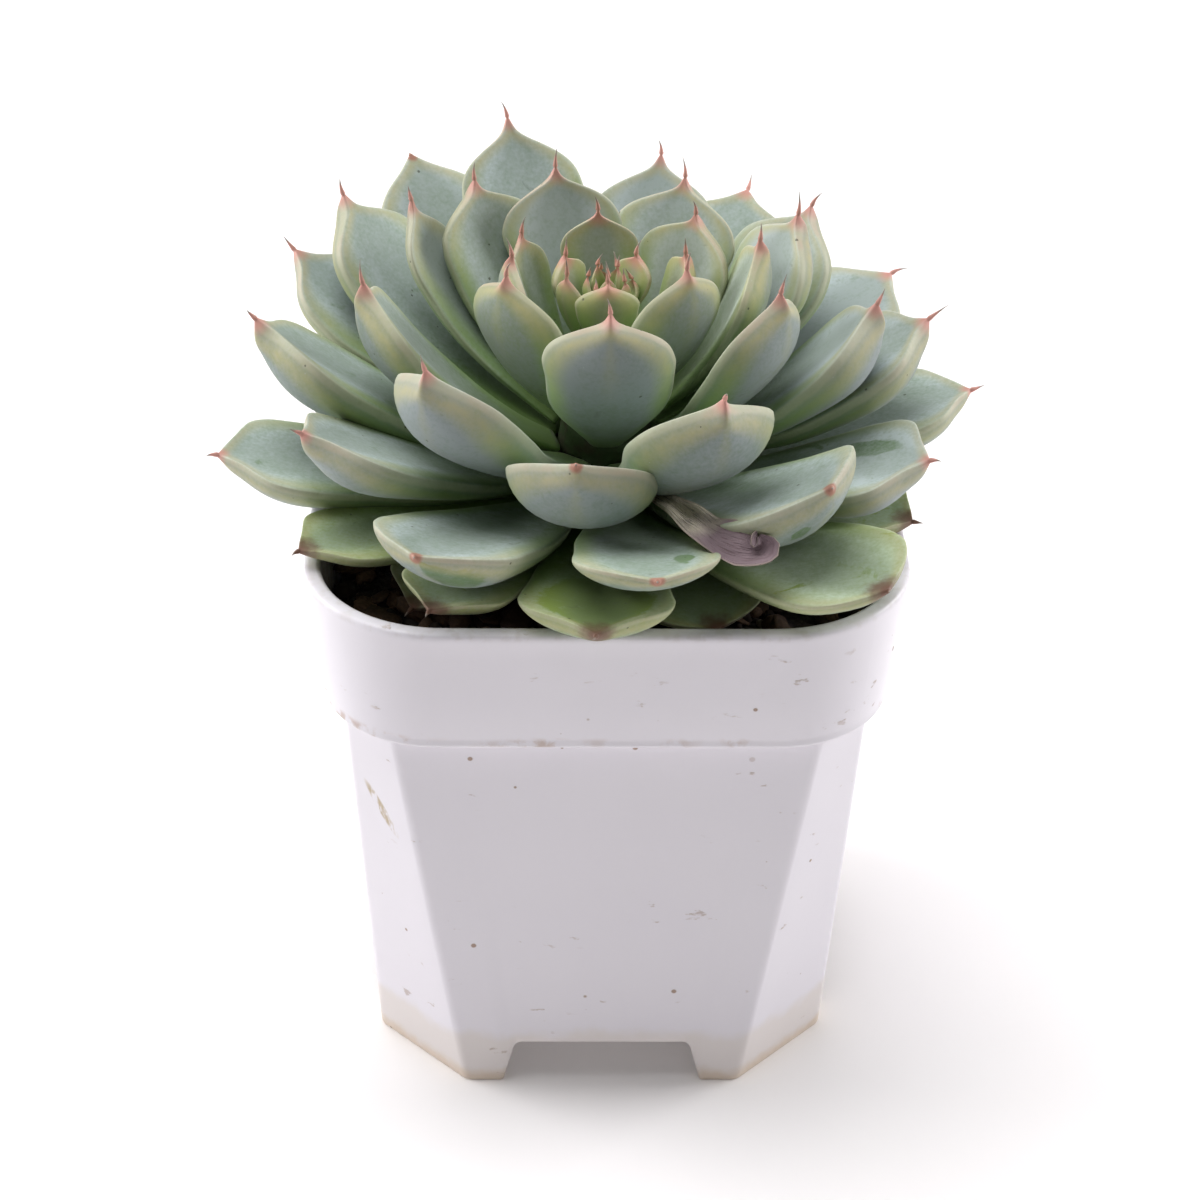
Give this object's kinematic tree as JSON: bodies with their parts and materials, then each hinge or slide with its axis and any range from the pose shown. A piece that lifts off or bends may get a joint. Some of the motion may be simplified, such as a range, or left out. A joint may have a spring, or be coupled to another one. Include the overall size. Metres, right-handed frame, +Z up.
{
  "type": "potted succulent",
  "caption": "A small rosette succulent of thick, pointed grey-green leaves on a short stem, growing in soil in a square plastic nursery pot with four feet.",
  "frame": {"origin": "on the table, under the middle of the box around the whole plant, which is also the pot's axis", "axes": "+Z up along the pot's axis; the pot's flat sides face +X, -X, +Y and -Y; -Y is the side usually seen"},
  "size_m": [0.0964, 0.0924, 0.109],
  "materials": {
    "pot_plastic": "moulded white plastic, half gloss",
    "soil_mix": "rough dark potting mix",
    "stem_bark": "dull green-brown bark",
    "old_leaf_flesh": "smooth green skin that has lost its bloom",
    "leaf_flesh": "powdery grey-green bloom",
    "young_leaf_flesh": "powdery pale green bloom",
    "heart_flesh": "soft yellow-green with pink points",
    "dried_leaf_skin": "thin, wrinkled and papery"
  },
  "bodies": {
    "root": {"dried_leaf": "dried_leaf_skin", "heart_bud": "heart_flesh", "leaf_broad_01": "leaf_flesh", "leaf_broad_02": "leaf_flesh", "leaf_broad_03": "leaf_flesh", "leaf_broad_04": "leaf_flesh", "leaf_broad_05": "leaf_flesh", "leaf_broad_06": "leaf_flesh", "leaf_broad_07": "leaf_flesh", "leaf_broad_08": "leaf_flesh", "leaf_broad_09": "leaf_flesh", "leaf_broad_10": "leaf_flesh", "leaf_broad_11": "leaf_flesh", "leaf_broad_12": "leaf_flesh", "leaf_broad_13": "leaf_flesh", "leaf_broad_14": "leaf_flesh", "leaf_core_01": "young_leaf_flesh", "leaf_core_02": "young_leaf_flesh", "leaf_core_03": "young_leaf_flesh", "leaf_core_04": "young_leaf_flesh", "leaf_core_05": "young_leaf_flesh", "leaf_inner_01": "young_leaf_flesh", "leaf_inner_02": "young_leaf_flesh", "leaf_inner_03": "young_leaf_flesh", "leaf_inner_04": "young_leaf_flesh", "leaf_inner_05": "young_leaf_flesh", "leaf_inner_06": "young_leaf_flesh", "leaf_inner_07": "young_leaf_flesh", "leaf_middle_01": "leaf_flesh", "leaf_middle_02": "leaf_flesh", "leaf_middle_03": "leaf_flesh", "leaf_middle_04": "leaf_flesh", "leaf_middle_05": "leaf_flesh", "leaf_middle_06": "leaf_flesh", "leaf_middle_07": "leaf_flesh", "leaf_middle_08": "leaf_flesh", "leaf_outer_01": "leaf_flesh", "leaf_outer_02": "leaf_flesh", "leaf_outer_03": "leaf_flesh", "leaf_outer_04": "leaf_flesh", "leaf_outer_05": "leaf_flesh", "leaf_outer_06": "leaf_flesh", "leaf_outer_07": "leaf_flesh", "leaf_outer_08": "leaf_flesh", "leaf_outer_09": "leaf_flesh", "leaf_outer_10": "leaf_flesh", "leaf_outer_11": "leaf_flesh", "leaf_outer_12": "leaf_flesh", "leaf_skirt_01": "old_leaf_flesh", "leaf_skirt_02": "old_leaf_flesh", "leaf_skirt_03": "old_leaf_flesh", "leaf_skirt_04": "old_leaf_flesh", "leaf_skirt_05": "old_leaf_flesh", "leaf_skirt_06": "old_leaf_flesh", "leaf_skirt_07": "old_leaf_flesh", "leaf_skirt_08": "old_leaf_flesh", "leaf_skirt_09": "old_leaf_flesh", "pot": "pot_plastic", "soil": "soil_mix", "stem": "stem_bark"}
  },
  "joints": []
}
